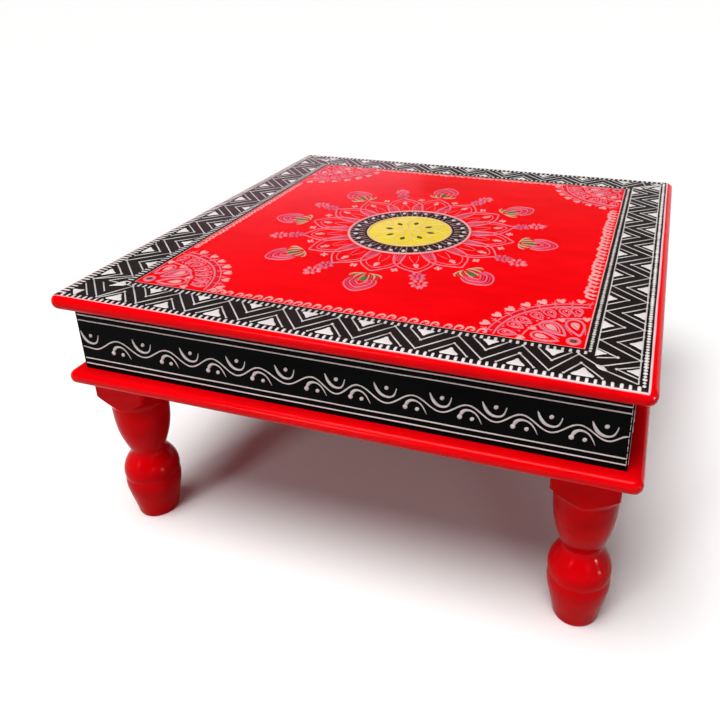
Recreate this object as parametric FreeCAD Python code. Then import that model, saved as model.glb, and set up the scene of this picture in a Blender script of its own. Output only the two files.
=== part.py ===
"""Bajot low table: a square painted panel on a skirted box, carried by four turned legs.

Units are millimetres. The origin is on the floor under the middle of the table, +Z is up and the front is -Y.
Each piece is a solid of its own, written to parts/NODE.step.
"""

import FreeCAD, Part
import os

# Overall sizes
overall_width = 457.0
overall_height = 225.0

# Top panel, one square board with a rounded rim
top_thickness = 12.0
top_corner_radius = 8.0
top_upper_round = 5.7
top_lower_round = 5.5

# Apron, four boards that stand on edge under the panel
apron_height = 57.0
apron_thickness = 12.0
apron_setback = 13.0

# Base frame, four mitred rails under the apron
base_thickness = 11.0
base_rail_width = 62.0
base_setback = 1.5
base_corner_radius = 7.0
base_upper_round = 5.2
base_lower_round = 5.2

# A board's two rounds leave a flat strip between them, and are smaller than the corner that they go round
largest_round_share = 0.48
round_in_corner_share = 0.9

# Legs, turned from square stock, with a round tenon at the top
leg_stock = 48.0
leg_corner_radius = 3.0
tenon_diameter = 18.0
tenon_wall = 4.0
glue_gap = 0.1

# Outline of the turning: depth below the leg's top as a share of the leg, radius as a share of the stock.
# The shoulder leaves the square block, the cup narrows to the neck, and the bulb and foot stand under it.
shoulder_shares = [(0.082, 0.740), (0.122, 0.668), (0.155, 0.572), (0.182, 0.512), (0.218, 0.492)]
cup_shares = [(0.218, 0.492), (0.300, 0.484), (0.380, 0.456), (0.450, 0.404), (0.505, 0.346), (0.538, 0.322)]
bulb_shares = [(0.590, 0.388), (0.632, 0.458), (0.678, 0.493), (0.722, 0.480)]
foot_shares = [(0.722, 0.480), (0.766, 0.494), (0.822, 0.474), (0.888, 0.432), (0.985, 0.372)]
sole_radius_share = 0.355

# Wedges that spread the tenons in the corner blocks
wedge_length_share = 0.65
wedge_head = 3.0
wedge_tip = 1.0

# Corner blocks inside the box, over the mitres
block_thickness = 20.0
block_inner_wall = 15.0
block_cut = 20.0

# Cleats along the top of the apron, which hold the panel
cleat_width = 15.0
cleat_height = 15.0

# Dowels in the apron's corner joints, as shares of the boards that they go into
dowel_diameter_share = 0.5
dowel_in_face_share = 0.67
dowel_in_end = 20.0
dowel_end_gap = 0.5
dowel_height_shares = [0.25, 0.75]

# Wood screws with countersunk, slotted heads
screw_diameter = 4.0
screw_head_diameter = 8.0
screw_head_height = 2.4
screw_tip = 3.0
screw_slot_width = 1.0
screw_slot_depth = 1.0
screw_gap = 0.1
screw_place_shares = [-0.32, 0.0, 0.32]

# How far each screw bites, as a share of the board that it ends in
rail_screw_bite_share = 0.42
block_screw_bite_share = 0.70
cleat_screw_bite_share = 0.58

# Places of a block's two screws, as shares of the block from the apron
block_screw_far_share = 0.80
block_screw_near_share = 0.22

# One overrun serves every cut
overrun = 5.0

# Places that follow from the sizes above
leg_length = overall_height - top_thickness - apron_height - base_thickness
apron_bottom = leg_length + base_thickness
panel_bottom = apron_bottom + apron_height
apron_width = overall_width - 2 * apron_setback
apron_middle = apron_width / 2 - apron_thickness / 2
apron_inner = apron_width / 2 - apron_thickness
base_width = overall_width - 2 * base_setback
leg_axis = apron_inner - tenon_wall - tenon_diameter / 2 - glue_gap
tenon_height = base_thickness + block_thickness
block_size = apron_inner - leg_axis + tenon_diameter / 2 + glue_gap + block_inner_wall
dowel_diameter = dowel_diameter_share * apron_thickness
dowel_in_face = dowel_in_face_share * apron_thickness
rail_screw_length = base_thickness + rail_screw_bite_share * apron_height
block_screw_length = block_thickness + block_screw_bite_share * base_thickness
cleat_screw_length = cleat_height + cleat_screw_bite_share * top_thickness

# Turns that take the front side to each side, and the way to each corner
sides = {"front": 0, "right": 90, "back": 180, "left": 270}
corners = {"front_left": (-1, -1), "front_right": (1, -1), "back_left": (-1, 1), "back_right": (1, 1)}

down = FreeCAD.Vector(0, 0, -1)
up = FreeCAD.Vector(0, 0, 1)


def box(low, high):
    """A box between two corners."""
    size = [b - a for a, b in zip(low, high)]
    return Part.makeBox(*size, FreeCAD.Vector(*low))


def prism(points, way):
    """A straight-sided outline, drawn out along a way."""
    return Part.Face(Part.makePolygon(points + points[:1])).extrude(way)


def rounded_prism(points, radii, way):
    """An outline whose corners are quarter rounds, drawn out along a way."""
    rounds = []
    for index, corner in enumerate(points):
        towards_last = (points[index - 1] - corner).normalize()
        towards_next = (points[(index + 1) % len(points)] - corner).normalize()
        start = corner + towards_last * radii[index]
        end = corner + towards_next * radii[index]
        centre = start + end - corner
        middle = centre + (corner - centre).normalize() * radii[index]
        rounds.append(Part.Arc(start, middle, end).toShape())
    edges = []
    for index, arc in enumerate(rounds):
        edges.append(Part.makeLine(rounds[index - 1].lastVertex().Point, arc.firstVertex().Point))
        edges.append(arc)
    return Part.Face(Part.Wire(edges)).extrude(way)


def turned_about_z(shape, degrees):
    """A copy of a shape, turned about the table's upright middle axis."""
    copy = shape.copy()
    copy.rotate(FreeCAD.Vector(), up, degrees)
    return copy


def square_corners(half, height):
    """The corners of a square about the middle axis, at one height."""
    return [FreeCAD.Vector(x * half, y * half, height) for x, y in ((-1, -1), (1, -1), (1, 1), (-1, 1))]


def rounded_board(width, bottom, thickness, corner_radius, upper_round, lower_round):
    """A square board with eased upright corners, and a round all along its lower and upper rim."""
    largest = min(largest_round_share * thickness, round_in_corner_share * corner_radius)
    board = rounded_prism(square_corners(width / 2, bottom), [corner_radius] * 4, up * thickness)
    underside = min(board.Faces, key=lambda face: face.CenterOfMass.z)
    board = board.makeFillet(min(lower_round, largest), underside.Edges)
    upper_face = max(board.Faces, key=lambda face: face.CenterOfMass.z)
    return board.makeFillet(min(upper_round, largest), upper_face.Edges)


def screw(head_at, direction, length, gap=0.0):
    """A countersunk screw with its head flush at a point. With a gap, it is the screw's hole."""
    shank = screw_diameter / 2 + gap
    head = screw_head_diameter / 2 + gap
    straight = length - screw_tip
    body = Part.makeCone(head, shank, screw_head_height, head_at, direction)
    body = body.fuse(Part.makeCylinder(shank, straight, head_at, direction))
    tip = Part.makeCone(shank, 0, screw_tip + gap, head_at + direction * straight, direction)
    return body.fuse(tip).removeSplitter()


def screw_with_slot(head_at, direction, length):
    """The screw itself, with the slot across its head."""
    reach = screw_head_diameter / 2 + overrun
    corner = FreeCAD.Vector(-reach, -screw_slot_width / 2, -overrun)
    slot = Part.makeBox(2 * reach, screw_slot_width, screw_slot_depth + overrun, corner)
    slot.Placement = FreeCAD.Placement(head_at, FreeCAD.Rotation(up, direction))
    return screw(head_at, direction, length).cut(slot)


def places_on_sides(out, height):
    """Three places on each side of the table, at one distance from the middle and one height."""
    places = []
    for turn in sides.values():
        for share in screw_place_shares:
            place = FreeCAD.Vector(share * apron_width, -out, height)
            places.append(FreeCAD.Rotation(up, turn).multVec(place))
    return places


def rail_screw_places():
    """Heads of the screws that go up through the base rails into the apron."""
    return places_on_sides(apron_middle, leg_length)


def cleat_screw_places():
    """Heads of the screws that go up through the cleats into the panel."""
    return places_on_sides(apron_inner - cleat_width / 2, panel_bottom - cleat_height)


def block_screw_places(corner):
    """Heads of the two screws that go down through a corner block, one into each rail."""
    x_way, y_way = corner
    far = apron_inner - block_screw_far_share * block_size
    near = apron_inner - block_screw_near_share * block_size
    height = apron_bottom + block_thickness
    return [
        FreeCAD.Vector(x_way * far, y_way * near, height),
        FreeCAD.Vector(x_way * near, y_way * far, height),
    ]


def tenon_hole(corner):
    """The round hole through a rail joint and its corner block, for a leg's tenon."""
    x_way, y_way = corner
    foot = FreeCAD.Vector(x_way * leg_axis, y_way * leg_axis, leg_length - overrun)
    return Part.makeCylinder(tenon_diameter / 2 + glue_gap, tenon_height + 2 * overrun, foot)


def dowels(gap=0.0, end_gap=0.0):
    """The dowels of the four corner joints. With gaps, they are the dowels' holes."""
    solids = []
    length = dowel_in_face + dowel_in_end + 2 * end_gap
    for x_way, y_way in corners.values():
        outer = y_way * (apron_inner + dowel_in_face + end_gap)
        for share in dowel_height_shares:
            end = FreeCAD.Vector(x_way * apron_middle, outer, apron_bottom + share * apron_height)
            inwards = FreeCAD.Vector(0, -y_way, 0)
            solids.append(Part.makeCylinder(dowel_diameter / 2 + gap, length, end, inwards))
    return solids


def make_top_panel():
    """The square panel, with the cleat screws' holes in its underside."""
    board = rounded_board(
        overall_width, panel_bottom, top_thickness, top_corner_radius, top_upper_round, top_lower_round
    )
    return board.cut([screw(place, up, cleat_screw_length, screw_gap) for place in cleat_screw_places()])


def make_aprons():
    """Front and back boards run the full width, and the side boards stand between them."""
    half = apron_width / 2
    front = box([-half, -half, apron_bottom], [half, -apron_inner, panel_bottom])
    side = box([-half, -apron_inner, apron_bottom], [-apron_inner, apron_inner, panel_bottom])
    boards = {
        "apron_front": front,
        "apron_back": turned_about_z(front, 180),
        "apron_left": side,
        "apron_right": turned_about_z(side, 180),
    }
    holes = dowels(glue_gap, dowel_end_gap)
    holes += [screw(place, up, rail_screw_length, screw_gap) for place in rail_screw_places()]
    return {name: board.cut(holes) for name, board in boards.items()}


def make_base_rails():
    """One rounded frame, parted at its mitres into four rails."""
    frame = rounded_board(
        base_width, leg_length, base_thickness, base_corner_radius, base_upper_round, base_lower_round
    )
    low = leg_length - overrun
    through = up * (base_thickness + 2 * overrun)
    cutters = [prism(square_corners(base_width / 2 - base_rail_width, low), through)]
    cutters += [screw(place, up, rail_screw_length, screw_gap) for place in rail_screw_places()]
    for corner in corners.values():
        cutters.append(tenon_hole(corner))
        cutters += [screw(place, down, block_screw_length, screw_gap) for place in block_screw_places(corner)]
    frame = frame.cut(cutters)
    reach = base_width / 2 + overrun
    quarter = prism([FreeCAD.Vector(0, 0, low)] + square_corners(reach, low)[:2], through)
    return {
        "base_rail_" + side: frame.common(turned_about_z(quarter, turn)).Solids[0]
        for side, turn in sides.items()
    }


def make_corner_block(corner):
    """A block in the corner of the box, with the corner that faces the middle cut off."""
    x_way, y_way = corner
    outer = apron_inner
    inner = outer - block_size
    cut = inner + block_cut
    outline = [(outer, outer), (outer, inner), (cut, inner), (inner, cut), (inner, outer)]
    points = [FreeCAD.Vector(x_way * x, y_way * y, apron_bottom) for x, y in outline]
    holes = [screw(place, down, block_screw_length, screw_gap) for place in block_screw_places(corner)]
    return prism(points, up * block_thickness).cut(holes + [tenon_hole(corner)])


def make_cleats():
    """Battens in the angle of the apron and the panel, the side pair between the others."""
    low = panel_bottom - cleat_height
    inner = apron_inner - cleat_width
    front = box([-apron_inner, -apron_inner, low], [apron_inner, -inner, panel_bottom])
    side = box([-apron_inner, -inner, low], [-inner, inner, panel_bottom])
    cleats = {
        "top_cleat_front": front,
        "top_cleat_back": turned_about_z(front, 180),
        "top_cleat_left": side,
        "top_cleat_right": turned_about_z(side, 180),
    }
    holes = [screw(place, up, cleat_screw_length, screw_gap) for place in cleat_screw_places()]
    return {name: cleat.cut(holes) for name, cleat in cleats.items()}


def turned_curve(shares):
    """A smooth edge through the points of one stretch of the turning."""
    points = [FreeCAD.Vector(radius * leg_stock, 0, leg_length * (1 - depth)) for depth, radius in shares]
    curve = Part.BSplineCurve()
    curve.interpolate(points)
    return curve.toShape()


def turned_solid():
    """What the lathe alone would leave, which is wider than the stock round the square block."""
    shoulder = turned_curve(shoulder_shares)
    waist = turned_curve(cup_shares + bulb_shares)
    foot = turned_curve(foot_shares)
    centre_top = FreeCAD.Vector(0, 0, leg_length)
    block_top = FreeCAD.Vector(shoulder.firstVertex().Point.x, 0, leg_length)
    sole = FreeCAD.Vector(sole_radius_share * leg_stock, 0, 0)
    edges = [
        Part.makeLine(centre_top, block_top),
        Part.makeLine(block_top, shoulder.firstVertex().Point),
        shoulder,
        waist,
        foot,
        Part.makeLine(foot.lastVertex().Point, sole),
        Part.makeLine(sole, FreeCAD.Vector()),
        Part.makeLine(FreeCAD.Vector(), centre_top),
    ]
    return Part.Face(Part.Wire(edges)).revolve(FreeCAD.Vector(), up, 360)


def wedge_blank():
    """The wedge's taper, over the leg's axis, before it is trimmed to the tenon."""
    top = leg_length + tenon_height
    tip = top - wedge_length_share * tenon_height
    half = tenon_diameter / 2 + overrun
    outline = [(wedge_head / 2, top), (wedge_tip / 2, tip), (-wedge_tip / 2, tip), (-wedge_head / 2, top)]
    return prism([FreeCAD.Vector(-half, y, z) for y, z in outline], FreeCAD.Vector(2 * half, 0, 0))


def make_leg_and_wedge():
    """A leg and its wedge over the origin: square block, turning, and a tenon split for the wedge."""
    stock = rounded_prism(square_corners(leg_stock / 2, 0), [leg_corner_radius] * 4, up * leg_length)
    tenon = Part.makeCylinder(tenon_diameter / 2, tenon_height, FreeCAD.Vector(0, 0, leg_length))
    leg = stock.common(turned_solid()).fuse(tenon).cut(wedge_blank()).removeSplitter()
    return leg.Solids[0], wedge_blank().common(tenon).Solids[0]


def write(name, solids):
    """Writes one node, which is a solid or a group of separate solids."""
    shape = solids[0] if len(solids) == 1 else Part.makeCompound(solids)
    if not shape.isValid():
        raise ValueError(name + " is not a valid shape")
    shape.exportStep(os.path.join("parts", name + ".step"))


def main():
    """Builds every piece and writes it."""
    os.makedirs("parts", exist_ok=True)
    write("top_panel", [make_top_panel()])
    for pieces in (make_aprons(), make_base_rails(), make_cleats()):
        for name, piece in pieces.items():
            write(name, [piece])
    leg, wedge = make_leg_and_wedge()
    block_screws = []
    for name, corner in corners.items():
        x_way, y_way = corner
        place = FreeCAD.Vector(x_way * leg_axis, y_way * leg_axis, 0)
        write("corner_block_" + name, [make_corner_block(corner)])
        write("leg_" + name, [leg.translated(place)])
        write("tenon_wedge_" + name, [wedge.translated(place)])
        block_screws += [screw_with_slot(at, down, block_screw_length) for at in block_screw_places(corner)]
    write("block_screws", block_screws)
    write("rail_screws", [screw_with_slot(at, up, rail_screw_length) for at in rail_screw_places()])
    write("cleat_screws", [screw_with_slot(at, up, cleat_screw_length) for at in cleat_screw_places()])
    write("corner_dowels", dowels())


main()
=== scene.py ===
# %% [markdown]
# A bajot is a low table with a square top, a closed apron box under it, a ledge round the foot of
# the box and four turned legs. This one is brushed with red and black enamel, and then a painter
# draws the whole pattern freehand in thick paint squeezed from a cone. The boards and legs come from
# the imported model, so this script only adds what a painter adds: finishes and raised paint.

# %% Load the table
import math
import random

import bmesh
import bpy
from mathutils import Matrix, Vector


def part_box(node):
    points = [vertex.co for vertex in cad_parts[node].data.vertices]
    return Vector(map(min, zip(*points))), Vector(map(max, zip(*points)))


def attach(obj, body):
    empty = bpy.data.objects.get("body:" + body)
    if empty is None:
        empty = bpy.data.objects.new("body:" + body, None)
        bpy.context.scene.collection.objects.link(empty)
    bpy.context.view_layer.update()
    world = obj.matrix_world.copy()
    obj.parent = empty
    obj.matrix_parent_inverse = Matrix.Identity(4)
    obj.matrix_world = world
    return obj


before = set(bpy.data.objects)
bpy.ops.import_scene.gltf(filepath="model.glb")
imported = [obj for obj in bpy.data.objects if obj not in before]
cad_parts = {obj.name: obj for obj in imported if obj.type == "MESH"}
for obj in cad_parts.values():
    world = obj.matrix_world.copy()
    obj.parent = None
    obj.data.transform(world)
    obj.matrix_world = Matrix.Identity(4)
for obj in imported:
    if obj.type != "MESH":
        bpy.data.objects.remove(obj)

mm = 0.001
DEGREE = math.pi / 180
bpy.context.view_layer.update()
board_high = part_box("top_panel")[1]
board_half, board_top = board_high.x, board_high.z

# %% [markdown]
# The camera stands where the photographer stood: a little above the table, near its right front
# corner. Its place was found by fitting a pinhole camera to the corners of the boards, so the
# render lies over the photograph. The small shift is there because the picture was cropped.

# %% Camera
CAMERA_PLACE = (0.2120, -0.6243, 0.4672)
CAMERA_TURN_DEGREES = (66.53, 0.62, 18.72)
CAMERA_LENS_MM = 36.745
CAMERA_SHIFT = (-0.0761, -0.1236)


def linked(name, data):
    """A new object in the scene."""
    made = bpy.data.objects.new(name, data)
    bpy.context.scene.collection.objects.link(made)
    return made


camera = linked("camera", bpy.data.cameras.new("camera"))
camera.location = CAMERA_PLACE
camera.rotation_euler = [turn * DEGREE for turn in CAMERA_TURN_DEGREES]
camera.data.sensor_width = 36
camera.data.lens = CAMERA_LENS_MM
camera.data.shift_x, camera.data.shift_y = CAMERA_SHIFT
bpy.context.scene.camera = camera
bpy.context.scene.view_settings.view_transform = "Standard"
print("camera", CAMERA_LENS_MM, "mm lens")

# %% [markdown]
# Enamel looks wet because it mirrors lamps, and its colour looks pure where it mirrors little else.
# So the room is nearly dark. One broad sun stands for the panel overhead and draws the bright line
# along the rounded rim, a key lamp on the left front lights the upright faces, and a weak one fills
# in from the right. A small lamp beside the table, lower than the board, shows only in the gloss and
# draws glints on the legs. A dim pink one behind lays the pale sheen over the far corner.

# %% Studio light
TABLE_MIDDLE = (0, 0, board_top / 2)


def lamp_holder(name, lamp, direction):
    """Puts a lamp in the scene, turned to shine in a direction."""
    holder = linked(name, lamp)
    holder.rotation_euler = Vector(direction).to_track_quat("-Z", "Y").to_euler()
    return holder


def soft_lamp(name, place, size, watts, aim=TABLE_MIDDLE, tint=(1, 1, 1)):
    """A rectangular lamp at a place, turned to face a point."""
    lamp = bpy.data.lights.new(name, "AREA")
    lamp.color = tint
    lamp.shape = "RECTANGLE"
    lamp.size, lamp.size_y = size
    lamp.energy = watts
    holder = lamp_holder(name, lamp, Vector(aim) - Vector(place))
    holder.location = place
    return holder


def sun_lamp(name, direction, strength, softness_degrees):
    """Even light over the whole floor, from a direction, with soft shadows."""
    sun = bpy.data.lights.new(name, "SUN")
    sun.energy = strength
    sun.angle = softness_degrees * DEGREE
    lamp_holder(name, sun, -Vector(direction))


sun_lamp("sky_panel", (-0.10, -0.25, 1), 3.3, 40)
soft_lamp("left_front_lamp", (-0.9, -2.1, 0.9), (0.5, 0.5), 11)
soft_lamp("right_fill_lamp", (1.3, -1.7, 0.7), (0.5, 0.5), 3)
glint_lamp = soft_lamp("right_glint_lamp", (2.5, -0.75, 0.10), (0.10, 0.2), 110)
glint_lamp.visible_diffuse = False
soft_lamp("far_sheen_lamp", (-1.5, 2.6, 0.85), (1.2, 0.4), 2.8, (-0.1, 0.1, board_top), (1.0, 0.42, 0.62))
print(len(bpy.data.lights), "lamps")

# %% [markdown]
# Every finish is built from nodes, so it works at any distance and on any shape. Writing nodes one
# by one is long, so small helpers make a node, set its sockets, and link a socket where it is given
# one in place of a number. The rest are the few steps that all finishes share: noise, a change of
# range, a mix of two colours and a bump.

# %% Helpers for materials
def put(tree, socket, value):
    """Gives a socket its value, by a link where the value is another node's socket."""
    if isinstance(value, bpy.types.NodeSocket):
        tree.links.new(value, socket)
    else:
        socket.default_value = value


def set_sockets(tree, made, **sockets):
    """Sets a node's sockets. Their names are written with underscores."""
    for key, value in sockets.items():
        put(tree, made.inputs[key.replace("_", " ")], value)


def node(tree, kind, settings=None, **sockets):
    """Adds a node and sets its sockets."""
    made = tree.nodes.new("ShaderNode" + kind)
    for key, value in (settings or {}).items():
        setattr(made, key, value)
    set_sockets(tree, made, **sockets)
    return made


def combined(tree, operation, first, second):
    """Two numbers put together, as a sum, a product or the larger one."""
    made = node(tree, "Math", {"operation": operation})
    put(tree, made.inputs[0], first)
    put(tree, made.inputs[1], second)
    return made.outputs[0]


def between(tree, low_colour, high_colour, factor):
    """A colour mixed between two, by a factor from 0 to 1."""
    mix = node(tree, "Mix", {"data_type": "RGBA"})
    for socket, value in ((0, factor), (6, (*low_colour, 1)), (7, (*high_colour, 1))):
        put(tree, mix.inputs[socket], value)
    return mix.outputs[2]


def noise(tree, place, scale, detail, roughness=0.5):
    """Soft blotches from 0 to 1. The larger the scale, the smaller they are."""
    made = node(tree, "TexNoise", Vector=place, Scale=scale, Detail=detail, Roughness=roughness)
    return made.outputs["Fac"]


def ranged(tree, value, low, high, start=0, end=1):
    """A number that runs from low to high while another runs from start to end."""
    made = node(tree, "MapRange", Value=value, From_Min=start, From_Max=end, To_Min=low, To_Max=high)
    return made.outputs[0]


def bump(tree, height, strength, depth):
    """The small tilts of an uneven surface."""
    return node(tree, "Bump", Height=height, Strength=strength, Distance=depth).outputs["Normal"]


def fresh_material(name):
    """A new material with its nodes, its shader, and a point's place on the table."""
    made = bpy.data.materials.new(name)
    made.use_nodes = True
    tree = made.node_tree
    return made, tree, tree.nodes["Principled BSDF"], node(tree, "TexCoord").outputs["Object"]

# %% [markdown]
# The floor is one large pale sheet that fills the picture, so the background is plain and the
# table's soft shadow stays on it. A white floor would throw a lot of light up into the shadows, so
# Light Path gives it two tones: nearly white where it is seen, and darker where it only lights the
# table. A low white cove stands far away all round, as a studio's does, so that low views have a
# plain background too. It shines only where it is seen, and it is too low for the board to mirror
# from the photographer's height. The world is one dim colour for what the lamps don't reach.

# %% Floor, cove and world
FLOOR_HALF = 30
FLOOR_SEEN, FLOOR_BOUNCE = (0.96, 0.96, 0.955), (0.30, 0.30, 0.30)
COVE_RADIUS, COVE_HEIGHT, COVE_SIDES = 28, 6.5, 96
WORLD_STRENGTH = 0.05


def where_seen(tree):
    """One for rays that show a surface, also in a mirror or through glass, and 0 for the rest."""
    rays = node(tree, "LightPath").outputs
    shown = combined(tree, "MAXIMUM", rays["Is Camera Ray"], rays["Is Glossy Ray"])
    return combined(tree, "MAXIMUM", shown, rays["Is Transmission Ray"])


def studio_piece(name, shape, paint):
    """Makes a bmesh a part of the studio."""
    mesh = bpy.data.meshes.new(name)
    shape.to_mesh(mesh)
    shape.free()
    mesh.materials.append(paint)
    made = linked(name, mesh)
    return made


floor_paint, tree, shader, _ = fresh_material("pale_floor")
floor_tone = between(tree, FLOOR_BOUNCE, FLOOR_SEEN, where_seen(tree))
set_sockets(tree, shader, Base_Color=floor_tone, Roughness=0.9, Specular_IOR_Level=0.1)
floor_shape = bmesh.new()
bmesh.ops.create_grid(floor_shape, x_segments=1, y_segments=1, size=FLOOR_HALF)
studio_piece("floor", floor_shape, floor_paint)

cove_paint, tree, shader, _ = fresh_material("white_cove")
glow = combined(tree, "MAXIMUM", where_seen(tree), WORLD_STRENGTH)
set_sockets(tree, shader, Base_Color=(0, 0, 0, 1), Emission_Color=(1, 1, 1, 1), Emission_Strength=glow)
cove_shape = bmesh.new()
bmesh.ops.create_cone(
    cove_shape, segments=COVE_SIDES, radius1=COVE_RADIUS, radius2=COVE_RADIUS, depth=2 * COVE_HEIGHT)
bmesh.ops.reverse_faces(cove_shape, faces=cove_shape.faces)
studio_piece("cove", cove_shape, cove_paint).visible_shadow = False

world = bpy.data.worlds.new("dim_room")
world.use_nodes = True
set_sockets(world.node_tree, world.node_tree.nodes["Background"], Color=(1, 1, 1, 1), Strength=WORLD_STRENGTH)
bpy.context.scene.world = world
print("floor, cove and world made")

# %% [markdown]
# Enamel is brushed on. Three things show that: the tone drifts from patch to patch, fine streaks
# run along the stroke, and the gloss ripples where the coat is uneven. One noise texture gives the
# patches, a second one stretched along the stroke gives the streaks, and a third gives the ripple.

# %% Brushed enamel
def enamel(name, bright, deep, along=(1, 1, 1), ripple=0.25, roughness=(0.16, 0.34), specular=0.15):
    """Glossy oil paint. The larger an axis is in along, the shorter the streaks are that way."""
    made, tree, shader, place = fresh_material(name)
    stroke = node(tree, "Mapping", Vector=place, Scale=along).outputs["Vector"]
    streaks = noise(tree, stroke, 24, 5, 0.6)
    patch_tone = ranged(tree, noise(tree, place, 16, 3), 0, 0.6, 0.3, 0.7)
    streak_tone = ranged(tree, streaks, 0, 0.4, 0.35, 0.65)
    unevenness = combined(tree, "ADD", noise(tree, stroke, 70, 2), streaks)
    set_sockets(
        tree, shader,
        Base_Color=between(tree, deep, bright, combined(tree, "ADD", patch_tone, streak_tone)),
        Roughness=ranged(tree, streaks, *roughness),
        Normal=bump(tree, unevenness, ripple, 0.6 * mm),
        Specular_IOR_Level=specular,
    )
    return made


BRIGHT_RED, DEEP_RED = (0.95, 0.0004, 0.004), (0.78, 0.0, 0.002)
# The legs' red is darker than the board's red: painted shade, for the shade under the table.
LEG_RED_PAINTED_SHADE, DEEP_LEG_RED_PAINTED_SHADE = (0.86, 0.0, 0.003), (0.52, 0.0, 0.001)
# The apron's black has a faint blue-green tint: a painted reflection.
BLACK, DEEP_BLACK = (0.0030, 0.0036, 0.0034), (0.0010, 0.0012, 0.0012)
# The border's black is much lighter than the apron's: a painted sheen.
BORDER_BLACK_PAINTED_SHEEN, DEEP_BORDER_BLACK_PAINTED_SHEEN = (0.020, 0.0125, 0.0125), (0.009, 0.0055, 0.0055)
RAIL_ROUGHNESS = (0.10, 0.28)
red_field = enamel("red_enamel_field", BRIGHT_RED, DEEP_RED, (1, 3, 3), 0.05, (0.14, 0.26), 0.045)
red_along_x = enamel("red_enamel_along_x", BRIGHT_RED, DEEP_RED, (0.4, 3, 3), 0.30, RAIL_ROUGHNESS, 0.07)
red_along_y = enamel("red_enamel_along_y", BRIGHT_RED, DEEP_RED, (3, 0.4, 3), 0.30, RAIL_ROUGHNESS, 0.07)
red_turned_painted_shade = enamel("red_enamel_turned_painted_shade", LEG_RED_PAINTED_SHADE, DEEP_LEG_RED_PAINTED_SHADE, (1, 1, 3), 0.35, (0.02, 0.08), 0.03)
black_gloss = enamel("black_enamel", BLACK, DEEP_BLACK, (0.5, 0.5, 3), 0.15, specular=0.02)
border_black_painted_sheen = enamel("border_black_enamel", BORDER_BLACK_PAINTED_SHEEN, DEEP_BORDER_BLACK_PAINTED_SHEEN, ripple=0.12, specular=0.08)
print("enamels made")

# %% [markdown]
# Inside the box the wood is bare. Its grain is long narrow rings, so a wave texture is bent by
# noise and stretched along the board. The screws are zinc plated steel, dull and a little blotched.

# %% Bare wood and steel
def bare_wood(name, along):
    """Planed mango wood with its grain along one axis."""
    made, tree, shader, place = fresh_material(name)
    grain = node(tree, "Mapping", Vector=place, Scale=along).outputs["Vector"]
    bands = {"wave_type": "BANDS", "bands_direction": "DIAGONAL"}
    rings = node(tree, "TexWave", bands, Vector=grain, Scale=30, Distortion=6, Detail=3, Detail_Scale=2)
    pores = noise(tree, grain, 220, 4)
    shade = combined(tree, "MULTIPLY", rings.outputs["Fac"], pores)
    set_sockets(
        tree, shader,
        Base_Color=between(tree, (0.50, 0.33, 0.18), (0.24, 0.13, 0.06), shade),
        Roughness=ranged(tree, pores, 0.55, 0.8),
        Normal=bump(tree, shade, 0.3, 0.4 * mm),
    )
    return made


def zinc_steel(name):
    """Dull plated steel with faint blotches."""
    made, tree, shader, place = fresh_material(name)
    blotches = noise(tree, place, 600, 3)
    set_sockets(
        tree, shader,
        Base_Color=between(tree, (0.42, 0.42, 0.40), (0.66, 0.66, 0.63), blotches),
        Roughness=ranged(tree, blotches, 0.25, 0.5),
        Normal=bump(tree, blotches, 0.2, 0.1 * mm),
        Metallic=1.0,
    )
    return made


wood_along_x = bare_wood("bare_wood_along_x", (0.08, 1, 1))
wood_along_y = bare_wood("bare_wood_along_y", (1, 0.08, 1))
wood_upright = bare_wood("bare_wood_upright", (1, 1, 0.08))
steel = zinc_steel("zinc_steel")
print("wood and steel made")

# %% [markdown]
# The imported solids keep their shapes, and each gets its finish by name. Boards that run left to
# right are brushed that way, and boards that run front to back are brushed the other way.

# %% Dress the solids
def finish_for(name):
    """The finish that a solid of the table wears."""
    runs_back = name.endswith(("_left", "_right"))
    if name == "top_panel":
        return red_field
    if name.startswith("apron"):
        return black_gloss
    if name.startswith("base_rail"):
        return red_along_y if runs_back else red_along_x
    if name.startswith("leg"):
        return red_turned_painted_shade
    if name.endswith("screws"):
        return steel
    if name.startswith("top_cleat"):
        return wood_along_y if runs_back else wood_along_x
    return wood_upright


for name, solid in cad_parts.items():
    for holder in solid.material_slots:
        holder.material = finish_for(name)
print(len(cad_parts), "solids dressed")

# %% [markdown]
# The painter works by eye, so no two marks are the same. A seeded random generator gives each mark
# a small miss, and the same misses every time the script runs. What is painted becomes a piece of
# the table by a call that joins it to the table's one body and gives it its finish.

# %% A steady hand
hand = random.Random(11)


def shaky(amount):
    """The small miss of a steady hand."""
    return hand.uniform(-amount, amount)


def about(size, share):
    """A size that misses by up to a share of itself."""
    return size * (1 + shaky(share))


def finished(name, shape, material, smooth):
    """Makes a bmesh a piece that rides on the table, with its finish."""
    mesh = bpy.data.meshes.new(name)
    shape.to_mesh(mesh)
    shape.free()
    mesh.materials.append(material)
    if smooth:
        mesh.shade_smooth()
    made = linked(name, mesh)
    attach(made, "root")
    print(name, len(mesh.polygons), "faces")
    return made

# %% [markdown]
# Cone paint stands proud of the surface, as icing does. A line is a half round bead, a dot is a
# small dome, and a filled leaf or triangle is a pillow with soft edges. All marks of one colour in
# one place become one mesh. Lines are drawn as curves with a round section, because a curve takes
# a width at each point, and then flattened a little. Dots are squashed balls, and pillows are
# outlines that are extruded and inset. Everything is drawn on a flat sheet first and laid on the
# table after that.

# %% Paint layer
BEAD_FLATNESS = 0.6
DOT_HEIGHT_SHARE = 0.45
PILLOW_FOOT, PILLOW_WALL, PILLOW_RISE, PILLOW_EDGE = 0.15 * mm, 0.2 * mm, 0.25 * mm, 0.55 * mm
WELD = 0.002 * mm


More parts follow.
